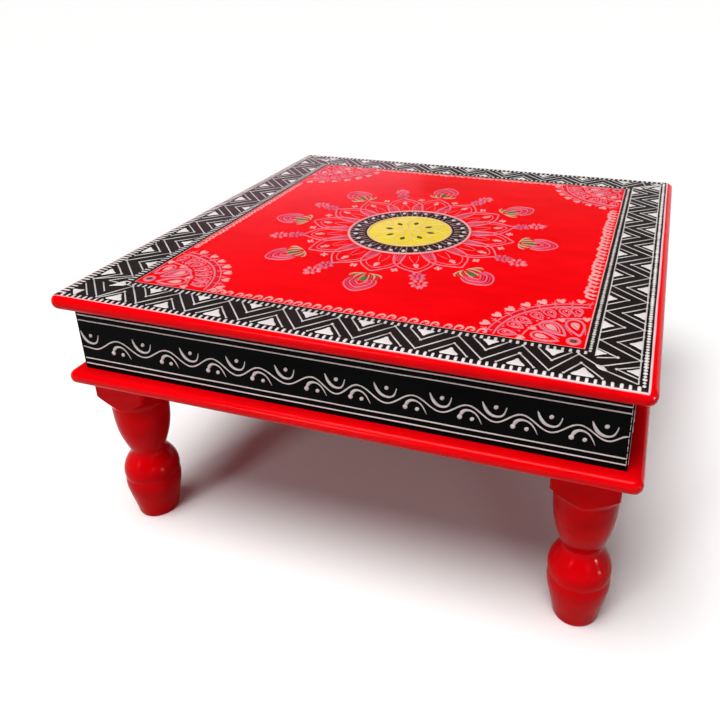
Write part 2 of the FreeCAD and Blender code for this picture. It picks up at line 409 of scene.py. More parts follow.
class PaintLayer:
    """The marks of one paint in one part of the pattern, drawn flat and turned into one mesh."""

    def __init__(self, name, material, slot="white_paint", flatness=BEAD_FLATNESS):
        self.name, self.material, self.slot, self.flatness = name, material, slot, flatness
        self.lines, self.dots, self.outlines = [], [], {}

    def line(self, points, width, closed=False, smooth=False, ends=(0.55, 0.55)):
        """A bead of paint. Width is one number, or one for each point."""
        widths = list(width) if hasattr(width, "__len__") else [width] * len(points)
        if not closed:
            widths[0] *= ends[0]
            widths[-1] *= ends[1]
        self.lines.append((points, widths, closed, smooth))

    def dot(self, place, wide, long=None, turn=0.0):
        """A dome of paint, round or long."""
        self.dots.append((place, wide, long or wide, turn))

    def pillow(self, outline, edge=PILLOW_EDGE):
        """A filled shape with soft edges."""
        self.outlines.setdefault(edge, []).append(outline)

    def _add_lines(self, shape):
        guide = bpy.data.curves.new("guide", "CURVE")
        guide.dimensions = "3D"
        guide.bevel_depth = mm
        guide.bevel_resolution = 1
        guide.use_fill_caps = True
        guide.resolution_u = 4
        for points, widths, closed, smooth in self.lines:
            spline = guide.splines.new("NURBS" if smooth else "POLY")
            spline.points.add(len(points) - 1)
            for knot, (x, y), width in zip(spline.points, points, widths):
                knot.co = (x, y, 0, 1)
                knot.radius = width / 2 / mm
            spline.use_cyclic_u = closed
            if smooth:
                spline.order_u = 3
                spline.use_endpoint_u = not closed
        holder = bpy.data.objects.new("guide", guide)
        beads = bpy.data.meshes.new_from_object(holder)
        shape.from_mesh(beads)
        bpy.data.objects.remove(holder)
        bpy.data.curves.remove(guide)
        bpy.data.meshes.remove(beads)

    def _add_dots(self, shape):
        dome = bmesh.new()
        bmesh.ops.create_uvsphere(dome, u_segments=8, v_segments=5, radius=0.5)
        for place, wide, long, turn in self.dots:
            size = Matrix.Diagonal((long, wide, 2 * DOT_HEIGHT_SHARE * min(wide, long), 1))
            seat = Matrix.Translation((place[0], place[1], 0)) @ Matrix.Rotation(turn, 4, "Z") @ size
            copies = {corner: shape.verts.new(seat @ corner.co) for corner in dome.verts}
            for face in dome.faces:
                shape.faces.new([copies[corner] for corner in face.verts])
        dome.free()

    def _add_pillows(self, shape):
        for edge, outlines in self.outlines.items():
            feet = [shape.faces.new([shape.verts.new((x, y, -PILLOW_FOOT)) for x, y in o]) for o in outlines]
            for foot in feet:
                foot.normal_update()
            downward = [foot for foot in feet if foot.normal.z < 0]
            bmesh.ops.reverse_faces(shape, faces=downward)
            raised = bmesh.ops.extrude_face_region(shape, geom=feet)["geom"]
            heads = [part for part in raised if isinstance(part, bmesh.types.BMVert)]
            bmesh.ops.translate(shape, verts=heads, vec=(0, 0, PILLOW_FOOT + PILLOW_WALL))
            tops = [part for part in raised if isinstance(part, bmesh.types.BMFace)]
            bmesh.ops.inset_individual(
                shape, faces=tops, thickness=edge, depth=PILLOW_RISE, use_even_offset=False)

    def piece(self, lay):
        """Finishes the layer as a piece of the table. lay puts the flat drawing on the surface."""
        shape = bmesh.new()
        if self.outlines:
            self._add_pillows(shape)
        if self.dots:
            self._add_dots(shape)
        if self.lines:
            self._add_lines(shape)
        bmesh.ops.scale(shape, verts=shape.verts, vec=(1, 1, self.flatness))
        lay(shape)
        bmesh.ops.remove_doubles(shape, verts=shape.verts, dist=WELD)
        bmesh.ops.recalc_face_normals(shape, faces=shape.faces)
        return finished(self.name, shape, self.material, smooth=True)

# %% [markdown]
# The pattern's outlines are a handful of simple shapes. Each is a short formula drawn pointing up
# from its foot, and a turn and a shift put it in place.

# %% Outlines
def placed(outline, place, turn, scale=1.0):
    """An outline turned, scaled and moved to its place."""
    cosine, sine = math.cos(turn) * scale, math.sin(turn) * scale
    return [(place[0] + x * cosine - y * sine, place[1] + x * sine + y * cosine) for x, y in outline]


def teardrop(width, length, steps=14):
    """Pointed at its foot, round at its head."""
    points = []
    for step in range(steps):
        angle = 2 * math.pi * step / steps
        rise = (1 - math.cos(angle)) / 2
        points.append((width * 0.65 * math.sin(angle) * math.sin(angle / 2), length * rise))
    return points


def leaf(width, length, steps=6):
    """Pointed at both ends."""
    right = [(width / 2 * math.sin(math.pi * i / steps), length * i / steps) for i in range(steps + 1)]
    left = [(-x, y) for x, y in reversed(right[1:-1])]
    return right + left


def mirrored(right, width, height):
    """An outline from its right half. Points on the middle line are there once."""
    left = [(-x, y) for x, y in reversed(right) if x > 0]
    return [(x * width, y * height) for x, y in right + left]


def heart(width, height):
    """Point at the foot and two lobes at the head."""
    right = [(0, 0), (0.30, 0.30), (0.50, 0.68), (0.40, 0.96), (0.17, 0.98), (0, 0.76)]
    return mirrored(right, width, height)


def bell(base, height):
    """A fat triangle with round feet, like the outline of a small bell."""
    right = [(0.44, -0.06), (0.52, 0.06), (0.45, 0.24), (0.29, 0.46), (0.15, 0.72), (0.07, 0.95), (0, 1.0)]
    return mirrored(right, base, height)


def polar(centre, radius, angle):
    """The point at a distance and an angle from a centre."""
    return (centre[0] + radius * math.cos(angle), centre[1] + radius * math.sin(angle))


def ring(centre, radius, steps):
    """Points all round a circle, for a closed line."""
    return [polar(centre, radius, 2 * math.pi * i / steps) for i in range(steps)]

# %% [markdown]
# The paints of the pattern are thicker than the enamel under them, with a soft shine and a faint
# crust. One recipe serves them all, from chalk white and the pinks of worn strokes to the magenta,
# cream and green of the flowers.

# %% Cone paints
def cone_paint(name, colour, shade, roughness=0.38):
    """Thick paint from a cone, with faint lumps and a slight change of tone."""
    made, tree, shader, place = fresh_material(name)
    lumps = noise(tree, place, 420, 3)
    set_sockets(
        tree, shader,
        Base_Color=between(tree, shade, colour, noise(tree, place, 60, 2)),
        Roughness=ranged(tree, lumps, roughness - 0.1, roughness + 0.12),
        Normal=bump(tree, lumps, 0.35, 0.25 * mm),
        Specular_IOR_Level=0.3,
    )
    return made


chalk_white = cone_paint("chalk_white_paint", (0.86, 0.82, 0.80), (0.68, 0.60, 0.60))
pale_blush = cone_paint("pale_blush_paint", (0.93, 0.68, 0.68), (0.88, 0.46, 0.50))
blush_white = cone_paint("blush_white_paint", (0.90, 0.43, 0.41), (0.80, 0.24, 0.26))
blush_pink = cone_paint("blush_pink_paint", (0.82, 0.24, 0.30), (0.72, 0.12, 0.19))
worn_white = cone_paint("worn_white_paint", (0.70, 0.67, 0.64), (0.50, 0.46, 0.46))
grey_white = cone_paint("grey_white_paint", (0.66, 0.63, 0.58), (0.46, 0.43, 0.42))
lemon_yellow = cone_paint("lemon_yellow_paint", (0.86, 0.72, 0.03), (0.78, 0.56, 0.01), 0.3)
cream = cone_paint("cream_paint", (0.90, 0.66, 0.34), (0.78, 0.46, 0.20))
leaf_green = cone_paint("leaf_green_paint", (0.09, 0.19, 0.05), (0.04, 0.09, 0.03))
magenta = cone_paint("magenta_paint", (0.70, 0.06, 0.17), (0.50, 0.02, 0.11))
# The roundels' hatching strokes are dark crimson: painted shade beside their pink lines.
crimson_painted_shade = cone_paint("crimson_paint", (0.52, 0.03, 0.10), (0.34, 0.01, 0.06))
dull_cream = cone_paint("dull_cream_paint", (0.74, 0.50, 0.33), (0.56, 0.32, 0.20))
lilac = cone_paint("lilac_paint", (0.68, 0.15, 0.27), (0.48, 0.06, 0.14))
mauve_grey = cone_paint("mauve_grey_paint", (0.50, 0.26, 0.28), (0.28, 0.12, 0.14))
olive_dark = cone_paint("olive_dark_paint", (0.10, 0.07, 0.01), (0.05, 0.035, 0.006))
print("cone paints made")

# %% [markdown]
# The board's rim is a full round, also round its corners, and the border strays over it. So the
# flat drawing is wrapped like paper: on top it is only lifted, and past the line where the round
# starts, the distance is measured along the round.

# %% Lay paint on the board
RIM_ROUND, CORNER_ROUND = 5.7 * mm, 8 * mm


def wrapped(x, y, height):
    """The place on the board of a point of the flat drawing."""
    straight = board_half - CORNER_ROUND
    past = Vector([math.copysign(max(abs(part) - straight, 0), part) for part in (x, y)])
    reach = past.length - (CORNER_ROUND - RIM_ROUND)
    if reach <= 0:
        return (x, y, board_top + height)
    outward = past.normalized()
    angle = min(reach / RIM_ROUND, math.pi / 2)
    radius = RIM_ROUND + height
    out = radius * math.sin(angle) - reach
    return (x + outward.x * out, y + outward.y * out, board_top - RIM_ROUND + radius * math.cos(angle))


def lay_on_board(shape):
    """Wraps a flat drawing over the top board."""
    for corner in shape.verts:
        corner.co = wrapped(*corner.co)


def lay_pieces(*layers, lay=lay_on_board):
    """Finishes layers as pieces of the table."""
    for layer in layers:
        layer.piece(lay)

# %% [markdown]
# The border is worked out side by side. Each side has the same rows, from the edge inwards: a thin
# line, an outer row of beads or rungs, the zigzag, and an inner row up to the field. The painter's
# front rows drift nearer to the edge from left to right, so their insets are given at both ends.

# %% Border rows
ROWS = ("edge", "tooth_foot", "tooth_head", "field")
INSETS_MM = {
    "front": ((4.5, 1.3), (11.4, 7.9), (36.4, 35.2), (44.4, 41.9)),
    "right": (6.0, 12.8, 41.4, 49.1),
    "back": (4.3, 13.0, 36.6, 43.4),
    "left": (3.2, 13.7, 41.1, 49.6),
}
ROW_BETWEEN = {"outer": ("edge", "tooth_foot"), "inner": ("tooth_head", "field")}
SIDE_ORDER = ("front", "right", "back", "left")
TEETH_MM = {
    "front": (-173.7, -130.2, -85.9, -39.8, 5.0, 48.9, 95.3, 139.8, 182.3),
    "right": (-170.3, -124.8, -78.6, -30.9, 15.1, 61.0, 107.0, 152.9, 198.0),
    "back": (-176.0, -130.5, -85.5, -40.0, 5.0, 50.5, 95.0, 140.5, 184.0),
    "left": (-187.4, -135.7, -84.1, -32.0, 19.7, 71.3, 123.4, 175.0),
}


def side_turn(side):
    """The turn that brings the front side to another side."""
    return SIDE_ORDER.index(side) * math.pi / 2


def inset(side, row, run):
    """How far a row lies in from the edge at a place along its side."""
    if row in ROW_BETWEEN:
        return sum(inset(side, neighbour, run) for neighbour in ROW_BETWEEN[row]) / 2
    given = INSETS_MM[side][ROWS.index(row)]
    start, end = given if side == "front" else (given, given)
    share = run / (2 * board_half) + 0.5
    return (start + (end - start) * share) * mm


def on_side(side, run, depth):
    """The point of the board that far along a side and that deep in from its edge."""
    turned = Matrix.Rotation(side_turn(side), 2) @ Vector((run, depth - board_half))
    return (turned.x, turned.y)


def row_point(side, row, run):
    """The point of a row at a place along its side."""
    return on_side(side, run, inset(side, row, run))


def row_corner(row, side, after):
    """Where a row of one side meets the same row of the next side."""
    a, b = (Vector(row_point(side, row, run)) for run in (-board_half, board_half))
    c, d = (Vector(row_point(after, row, run)) for run in (-board_half, board_half))
    first, second, gap = b - a, d - c, c - a
    share = (gap.x * second.y - gap.y * second.x) / (first.x * second.y - first.y * second.x)
    met = a + first * share
    return (met.x, met.y)


def row_corners(row):
    """The four corners of a row, from the front right corner round to the front left one."""
    return [row_corner(row, side, SIDE_ORDER[(i + 1) % 4]) for i, side in enumerate(SIDE_ORDER)]


print("border field corners", [(round(x / mm), round(y / mm)) for x, y in row_corners("field")])

# %% [markdown]
# The black ground of the border is a film of enamel with a clean brushed edge. It could be a
# painted mask in the board's material, but a real film of paint keeps its edge sharp when the
# camera comes near. Two loops of four corners are bridged, cut in strips where the rim falls away,
# and pulled down into a thin slab.

# %% Black ground
FILM, FILM_FOOT = 0.12 * mm, 0.3 * mm
RIM_CUTS = (0, 0.17, 0.34, 0.51, 0.68, 0.85)


def film_between(name, outer, inner):
    """A film of black enamel between two loops of as many corners."""
    shape = bmesh.new()
    loops = []
    for corners in (outer, inner):
        knots = [shape.verts.new((x, y, FILM)) for x, y in corners]
        loops += [shape.edges.new((knots[i - 1], knots[i])) for i in range(len(knots))]
    bmesh.ops.bridge_loops(shape, edges=loops)
    for side in SIDE_ORDER:
        outward = Matrix.Rotation(side_turn(side), 3, "Z") @ Vector((0, -1, 0))
        for share in RIM_CUTS:
            reach = board_half - RIM_ROUND * (1 - share)
            parts = shape.verts[:] + shape.edges[:] + shape.faces[:]
            bmesh.ops.bisect_plane(shape, geom=parts, plane_co=outward * reach, plane_no=outward, dist=1e-7)
    bmesh.ops.recalc_face_normals(shape, faces=shape.faces)
    if sum(face.normal.z for face in shape.faces) < 0:
        bmesh.ops.reverse_faces(shape, faces=shape.faces)
    sunk = bmesh.ops.extrude_face_region(shape, geom=shape.faces[:])["geom"]
    sunk_corners = [part for part in sunk if isinstance(part, bmesh.types.BMVert)]
    bmesh.ops.translate(shape, verts=sunk_corners, vec=(0, 0, -FILM_FOOT))
    lay_on_board(shape)
    bmesh.ops.recalc_face_normals(shape, faces=shape.faces)
    return finished(name, shape, border_black_painted_sheen, smooth=False)


film_between("border_ground", row_corners("edge"), row_corners("field"))

# %% [markdown]
# Thin lines run round the border. On the right they also fence in the rows of beads, and at the
# front the outer one is pale pink and thins out to the left. The painter pulls them by eye, so
# each is a long line whose points miss by a hair.

# %% Border lines
FENCE = 1.2
EDGE_LINES = {"front": (0.6, 1.7), "right": (1.7, 1.7), "back": (1.3, 1.3), "left": (0.8, 0.8)}
FIELD_LINES = {"front": 0.7, "right": 1.1, "back": 0.7, "left": 0.6}
fences = PaintLayer("border_lines", worn_white)
blushed = PaintLayer("border_blushed_lines", blush_white)
edge_hairs = PaintLayer("border_edge_lines", pale_blush)


def long_line(layer, start, end, first_mm, last_mm, miss=0.25 * mm, steps=24):
    """A line pulled by eye between two points. Its points crowd at the ends, where the rim is round."""
    a, b = Vector(start), Vector(end)
    across = (b - a).orthogonal().normalized()
    points, widths = [], []
    for step in range(steps + 1):
        share = (1 - math.cos(math.pi * step / steps)) / 2
        stray = shaky(miss) * math.sin(math.pi * share)
        points.append((a + (b - a) * share + across * stray).to_tuple())
        widths.append(about((first_mm + (last_mm - first_mm) * share) * mm, 0.12))
    layer.line(points, widths, smooth=True, ends=(0.9, 0.9))


edge_corners, field_corners = row_corners("edge"), row_corners("field")
for i, side in enumerate(SIDE_ORDER):
    layer = edge_hairs if side in ("front", "right") else fences
    long_line(layer, edge_corners[i - 1], edge_corners[i], *EDGE_LINES[side])
    long_line(blushed, field_corners[i - 1], field_corners[i], FIELD_LINES[side], FIELD_LINES[side])
    if side == "right":
        for row in ("tooth_foot", "tooth_head"):
            corners = row_corners(row)
            long_line(fences, corners[i - 1], corners[i], FENCE, FENCE)
lay_pieces(fences, blushed, edge_hairs)

# %% [markdown]
# The two rows beside the zigzag are beads on the right side and short rungs on the other three.
# Both are set down one after the other at an even pitch. A rung stops short of the zigzag's side of
# its row, and leaves a black gap as wide as itself. The left side's rungs are closer and slimmer.

# %% Beads and rungs
BEAD_PITCHES = {"outer": 3.9 * mm, "inner": 3.4 * mm}
BEADS = {"outer": 3.0 * mm, "inner": 2.7 * mm}
RUNG_PITCHES = {"outer": 5.2 * mm, "inner": 5.05 * mm}
RUNG_WIDTHS = {"outer": 2.6 * mm, "inner": 2.5 * mm}
RUNG_ENDS = {"outer": (0.5 * mm, 2.2 * mm), "inner": (0.4 * mm, 2.7 * mm)}
RUNG_FLATNESS = 0.35
LEFT_CLOSER = 0.84
beads = {
    "outer": PaintLayer("border_outer_beads", chalk_white),
    "inner": PaintLayer("border_inner_beads", grey_white),
}
rungs = {
    "outer": PaintLayer("border_outer_rungs", chalk_white, flatness=RUNG_FLATNESS),
    "inner": PaintLayer("border_inner_rungs", worn_white, flatness=RUNG_FLATNESS),
}


def row_runs(side, row, pitch):
    """The places of the marks along a row, from corner to corner at an even pitch."""
    i = SIDE_ORDER.index(side)
    corners = row_corners(row)
    back = Matrix.Rotation(-side_turn(side), 2)
    start, end = ((back @ Vector(corners[k])).x for k in (i - 1, i))
    count = round((end - start) / pitch)
    return [start + (end - start) * (step + 0.5) / count for step in range(count)]


def rung(side, row, run, width):
    """A blunt stroke across a row, from line to line."""
    low, high = (inset(side, line, run) for line in ROW_BETWEEN[row])
    low, high = low + RUNG_ENDS[row][0], high - RUNG_ENDS[row][1]
    lean = shaky(0.3 * mm)
    shares = (0, 0.25, 0.5, 0.75, 1)
    points = [on_side(side, run + lean * share, low + (high - low) * share) for share in shares]
    rungs[row].line(points, about(width, 0.12), ends=(0.9, 0.9))


for side in SIDE_ORDER:
    closer = LEFT_CLOSER if side == "left" else 1
    for row in ROW_BETWEEN:
        if side == "right":
            for run in row_runs(side, row, BEAD_PITCHES[row]):
                size = about(BEADS[row], 0.15)
                place = row_point(side, row, run + shaky(0.15 * mm))
                beads[row].dot(place, size, size * 1.1, side_turn(side))
        else:
            for run in row_runs(side, row, RUNG_PITCHES[row] * closer):
                rung(side, row, run, RUNG_WIDTHS[row] * closer)
lay_pieces(*beads.values(), *rungs.values())

# %% [markdown]
# The zigzag is three parallel lines on each slant. The middle one runs the whole way. The outer one
# makes a tent over a white triangle that stands on the edge side, and the inner one makes a V round
# a triangle that hangs from the field side. Paint gathers where lines meet, so each bend has a blob.

# %% Zigzag
STROKE, BLOB = 1.45 * mm, 2.5 * mm
TENT_SHARE, VEE_SHARE = 0.56, 0.47
TENT_TRIANGLE, VEE_TRIANGLE = (13.0 * mm, 9.2 * mm), (11.2 * mm, 7.4 * mm)
HEAD_DROP = 1.0 * mm
LAST_LEANS = {"front": 5.5 * mm, "right": 3 * mm, "back": 3 * mm, "left": 0}
zigzag = PaintLayer("border_zigzag", worn_white)
triangles = PaintLayer("border_triangles", chalk_white)


def strokes(layer, *knots):
    """Quick straight beads from knot to knot, each with a slightly uneven width."""
    for start, end in zip(knots, knots[1:]):
        middle = [(a + b) / 2 + shaky(0.2 * mm) for a, b in zip(start, end)]
        layer.line([start, middle, end], [STROKE, about(STROKE, 0.12), STROKE], ends=(0.9, 0.9))


def chevron(layer, left, apex, right):
    """Two slants that meet at an apex, with a blob at the bend."""
    strokes(layer, left, apex, right)
    layer.dot(apex, about(BLOB, 0.2))


def facing(side, inward):
    """The turn that stands an outline on a side, pointing inwards or outwards."""
    return side_turn(side) + (0 if inward else math.pi)


def tip_of(side, i):
    """The place of a tooth's tip. The last tooth before a corner leans back from it."""
    last = i in (-1, len(TEETH_MM[side]) - 1)
    run = TEETH_MM[side][i] * mm - (LAST_LEANS[side] if last else 0)
    return on_side(side, run, inset(side, "tooth_head", run) - HEAD_DROP)


def triangle(side, row, run, size):
    """A filled triangle on one side of the zigzag, a little larger or smaller than the next."""
    swell = about(1, 0.1)
    seat = on_side(side, run + shaky(0.4 * mm), inset(side, row, run))
    outline = bell(size[0] * swell, size[1] * swell)
    triangles.pillow(placed(outline, seat, facing(side, row == "tooth_foot")))


def tent(side, run, before, after, lean=0):
    """The triangle on the edge side, and the tent line over it."""
    foot, head = inset(side, "tooth_foot", run), inset(side, "tooth_head", run)
    left, right = (on_side(side, run + reach * TENT_SHARE, foot) for reach in (-before, after))
    chevron(zigzag, left, on_side(side, run - lean, foot + (head - foot) * TENT_SHARE), right)
    for end in (left, right):
        zigzag.dot(end, BLOB * 0.85)
    triangle(side, "tooth_foot", run, TENT_TRIANGLE)


def vee(side, run, half):
    """The triangle on the field side, and the V line round it."""
    foot, head = inset(side, "tooth_foot", run), inset(side, "tooth_head", run)
    left, right = (on_side(side, run + reach * (1 - VEE_SHARE), head) for reach in (-half, half))
    chevron(zigzag, left, on_side(side, run, foot + (head - foot) * VEE_SHARE), right)
    triangle(side, "tooth_head", run, VEE_TRIANGLE)


for side in SIDE_ORDER:
    teeth = [run * mm for run in TEETH_MM[side]]
    for i, (here, after) in enumerate(zip(teeth, teeth[1:])):
        valley = (here + after) / 2
        chevron(zigzag, tip_of(side, i), row_point(side, "tooth_foot", valley), tip_of(side, i + 1))
        zigzag.dot(tip_of(side, i), BLOB)
        vee(side, valley, (after - here) / 2)
    for i, run in enumerate(teeth):
        before = (run - teeth[i - 1]) / 2 if i else (teeth[1] - run) / 2
        after = (teeth[i + 1] - run) / 2 if i + 1 < len(teeth) else before
        tent(side, run, before, after, 0 if i + 1 < len(teeth) else LAST_LEANS[side] / 2)
lay_pieces(zigzag, triangles)

# %% [markdown]
# Three corners are mitred: the last slant runs on to the outer corner with a long leaf of paint on
# it, and the next side starts with a V and a small tent beside it.

# %% Mitred corners of the zigzag
corner_lines = PaintLayer("border_corner_lines", worn_white)
corner_fills = PaintLayer("border_corner_leaves", chalk_white)
MITRE_SWELL, MITRE_LEAF = 3.3 * mm, (4.2 * mm, 12 * mm)
FIRST_VALLEY, FIRST_TENT = 21 * mm, 15 * mm
SMALL_VEE, SMALL_TENT = (8 * mm, 7 * mm), (8.5 * mm, 8 * mm)
VEE_RISE, TENT_RISE = 14.5 * mm, 14 * mm


def mitred_corner(side, after):
    """Ends one side's zigzag on the mitre and starts the next one beside it."""
    outward = Matrix.Rotation(side_turn(side), 2) @ Vector((0, -1))
    head = Vector(tip_of(side, -1))
    corner = Vector(row_corner("tooth_foot", side, after))
    bend = head + (corner - head) * 0.5 + outward * MITRE_SWELL
    strokes(corner_lines, head, bend, corner)
    corner_lines.dot(head, BLOB)
    along = bend - head
    turn = math.atan2(along.y, along.x) - math.pi / 2
    corner_fills.pillow(placed(leaf(*MITRE_LEAF), head + along * 0.56, turn), 0.5 * mm)

    valley = TEETH_MM[after][0] * mm - FIRST_VALLEY
    foot, deep = inset(after, "tooth_foot", valley), inset(after, "tooth_head", valley)
    chevron(corner_lines, tip_of(after, 0), on_side(after, valley, foot), head + along * 0.72)
    vee_ends = on_side(after, valley + 9 * mm, deep), on_side(after, valley - 4 * mm, deep - 1 * mm)
    chevron(corner_lines, vee_ends[0], on_side(after, valley, foot + VEE_RISE), vee_ends[1])
    corner_fills.pillow(placed(bell(*SMALL_VEE), on_side(after, valley + 3 * mm, deep), facing(after, False)))

    tent_run = valley - FIRST_TENT
    tent_ends = [on_side(after, tent_run + reach * mm, foot) for reach in (7.2, -8.2)]
    chevron(corner_lines, tent_ends[0], on_side(after, tent_run, foot + TENT_RISE), tent_ends[1])
    corner_fills.pillow(placed(bell(*SMALL_TENT), on_side(after, tent_run, foot), facing(after, True)))


for side, after in zip(SIDE_ORDER, SIDE_ORDER[1:]):
    mitred_corner(side, after)
print("mitred corners drawn")

# %% [markdown]
# At the front left corner the painter turned the zigzag the other way, so slants cut across the
# corner round a triangle that points to the field. These strokes join the ones of the other corners.

# %% Crossed corner of the zigzag
CROSSED_FEET = (15.1 * mm, 14.9 * mm)
CROSSED_HEAD, CROSSED_END = 3 * mm, 24 * mm
ELBOW_RUN, ELBOW_DEPTH = 14 * mm, 28 * mm
CROSSED_BAR = 9.5 * mm


def crossed_corner(side, after):
    """Cuts across a corner with slants, round a triangle that points to the field."""
    last, first = TEETH_MM[side][-1] * mm, TEETH_MM[after][0] * mm

    def ends(row, reach):
        return row_point(side, row, last + reach), row_point(after, row, first - reach)

    one = row_point(side, "tooth_foot", last + CROSSED_FEET[0])
    two = row_point(after, "tooth_foot", first - CROSSED_FEET[1])
    high_one, high_two = ends("tooth_head", 0)
    strokes(corner_lines, high_one, one, two, high_two)
    strokes(corner_lines, *ends("tooth_foot", CROSSED_END))
    high_one, high_two = ends("tooth_head", CROSSED_HEAD)
    strokes(corner_lines, high_one, on_side(side, last + ELBOW_RUN, ELBOW_DEPTH), high_two)
    corner, inner = (Vector(row_corner(row, side, after)) for row in ("tooth_foot", "tooth_head"))
    mitre = inner - corner
    turn = math.atan2(mitre.y, mitre.x) - math.pi / 2
    corner_fills.pillow(placed(bell(11 * mm, 8 * mm), corner + mitre * 0.08, turn))
    corner_fills.pillow(placed(bell(9 * mm, 12 * mm), inner + mitre * 0.10, turn + math.pi))
    middle = corner + mitre * 0.68
    across = mitre.orthogonal().normalized() * CROSSED_BAR
    strokes(corner_lines, middle - across, middle + across)
    for place in (one, two):
        corner_lines.dot(place, BLOB)


crossed_corner("left", "front")
lay_pieces(corner_lines, corner_fills)

# %% [markdown]
# A fringe of little curls stands inside the border, between the corner roundels. Each is one fat
# stroke that rises from the field's line, bends over and turns in on itself. It is white paint that
# has taken a blush of red, and the right side's curls are the largest.

# %% Fringe
CURL_PITCHES = {"front": 8.4 * mm, "right": 7.8 * mm, "back": 6.6 * mm, "left": 5.8 * mm}
CURLS = {"front": 7.4 * mm, "right": 10.4 * mm, "back": 6.8 * mm, "left": 6.4 * mm}
CURL_POINTS = [
    (-0.46, 0.06), (-0.42, 0.46), (-0.14, 0.86), (0.24, 0.78), (0.36, 0.40), (0.14, 0.22), (0.0, 0.40),
]
CURL_WIDTH_SHARES = (0.16, 0.24, 0.30, 0.28, 0.22, 0.17, 0.12)
ROUNDEL_REACH = 76 * mm
fringe = PaintLayer("field_fringe", blush_white)


def curl(layer, place, turn, size):
    """A fat stroke that rises, bends over and turns in on itself."""
    widths = [about(share * size, 0.1) for share in CURL_WIDTH_SHARES]
    layer.line(placed(CURL_POINTS, place, turn, size), widths, smooth=True)


for side in SIDE_ORDER:
    reach = board_half - inset(side, "field", 0) - ROUNDEL_REACH
    count = round(2 * reach / CURL_PITCHES[side])
    for step in range(count + 1):
        run = -reach + 2 * reach * step / count + shaky(0.5 * mm)
        place = on_side(side, run, inset(side, "field", run) + 0.4 * mm)
        curl(fringe, place, facing(side, True) + shaky(0.12), about(CURLS[side], 0.1))
lay_pieces(fringe)

# %% [markdown]
# Each corner of the field holds a quarter roundel. Working out from the corner there is a ring, a
# fan of three paisley drops, an arc with small hearts under it, a row of seven small paisleys, a
# bold double arc and a crown of hearts. Each band has its own function, which draws it for one
# quarter, and places are given by their distance from the field's corner and their angle.

# %% Arcs and crown of the roundels
ARCS_MM = ((62.8, 2.0, 2, 88), (68.0, 1.2, 3, 87), (43.8, 1.5, 6, 84))
HEARTS = (13.4, 25.6, 37.2, 48.4, 59.3, 70, 81.2)
SPROUTS = [7.4] + [degrees + 5.9 for degrees in HEARTS]
roundels = PaintLayer("roundel_lines", blush_pink)
roundel_fills = PaintLayer("roundel_hearts", blush_white)
roundel_hatching = PaintLayer("roundel_hatching", crimson_painted_shade)
roundel_eyes = PaintLayer("roundel_eyes", olive_dark, "black_paint")


class Quarter:
    """One corner of the field, with places in millimetres and degrees from that corner."""

    def __init__(self, corner, turn):
        self.corner, self.turn = corner, turn

    def at(self, radius, degrees):
        """The place at a distance and an angle from the corner."""
        return polar(self.corner, radius * mm, self.turn + math.pi - degrees * DEGREE)

    def outward(self, degrees):
        """The turn that stands an outline there, pointing away from the corner."""
        return self.turn + math.pi / 2 - degrees * DEGREE


def hatch(quarter, inner, outer, degrees):
    """A thin stroke across a band."""
    stroke = [quarter.at(radius, degrees + shaky(0.4)) for radius in (inner, outer)]
    roundel_hatching.line(stroke, about(0.75 * mm, 0.15))


def arcs(quarter):
    """The bold arcs, and the hatching between the two outer ones."""
    for radius, width, start, end in ARCS_MM:
        points = [quarter.at(radius + shaky(0.3), start + (end - start) * i / 16) for i in range(17)]
        roundels.line(points, [about(width * mm, 0.1) for _ in points], smooth=True)
    for step in range(32):
        hatch(quarter, 63.9, 67.8, 4.5 + step * 2.6)


def crown(quarter):
    """Hearts outside the arcs, with a sprout between each two."""
    for degrees in HEARTS:
        size = about(7.6 * mm, 0.1)
        turn = quarter.outward(degrees) + shaky(0.2)
        roundel_fills.pillow(placed(heart(size, size), quarter.at(69.0, degrees), turn))
    for degrees in SPROUTS:
        bend = shaky(0.6)
        stem = [(64.5, degrees - 0.8), (69, degrees + bend), (74, degrees + 0.9)]
        roundels.line([quarter.at(*knot) for knot in stem], [1.4 * mm, 1.7 * mm, 0.9 * mm], smooth=True)
        for lean in (-1, 1):
            side_shoot = [quarter.at(69, degrees + lean * 0.5), quarter.at(71, degrees + lean * 1.9)]
            roundels.line(side_shoot, 1.2 * mm)

# %% [markdown]
# Inside the arcs lie the paisleys, which are drops drawn in outline with their points towards the
# corner. Seven small ones stand in a row, and three large ones fan out round the ring. The outline
# is a formula, so each drop only needs its place, its width and its length.

# %% Paisleys and drops of the roundels
PAISLEYS = (9, 22, 33.3, 45.9, 58, 69.6, 80)
BETWEEN_PAISLEYS = [(before + after) / 2 for before, after in zip(PAISLEYS, PAISLEYS[1:])]
CORNER_HEARTS = ((4.5, 40), (27, 39), (61.5, 39), (85.5, 40))
DROPS_MM = ((72.4, 17.5, 12.6, 24.5, 6.4), (43.6, 20.5, 13.6, 24.5, 6.2), (17.3, 19.0, 11.4, 20, 5.8))
EYE_RADIUS = 11.6


def paisley(place, turn, width, length, line):
    """An outlined drop, with its point at its foot."""
    roundels.line(placed(teardrop(width * mm, length * mm, 16), place, turn), line * mm, closed=True)


def paisley_row(quarter):
    """Seven paisleys, one inside another, with hatching between them."""
    for degrees in PAISLEYS:
        turn = quarter.outward(degrees) + shaky(0.15)
        paisley(quarter.at(47.4, degrees - 1), turn, 8.4, 13.2, 1.3)
        paisley(quarter.at(50.2, degrees - 0.4), turn, 4.2, 7.6, 0.9)
        roundel_fills.dot(quarter.at(56.0, degrees), 1.7 * mm)
    for degrees in BETWEEN_PAISLEYS:
        for lean in (-1.8, 0, 1.8):
            hatch(quarter, 47.0 + abs(lean), 52.5, degrees + lean)
            hatch(quarter, 59.6, 61.4, degrees + lean * 1.3)


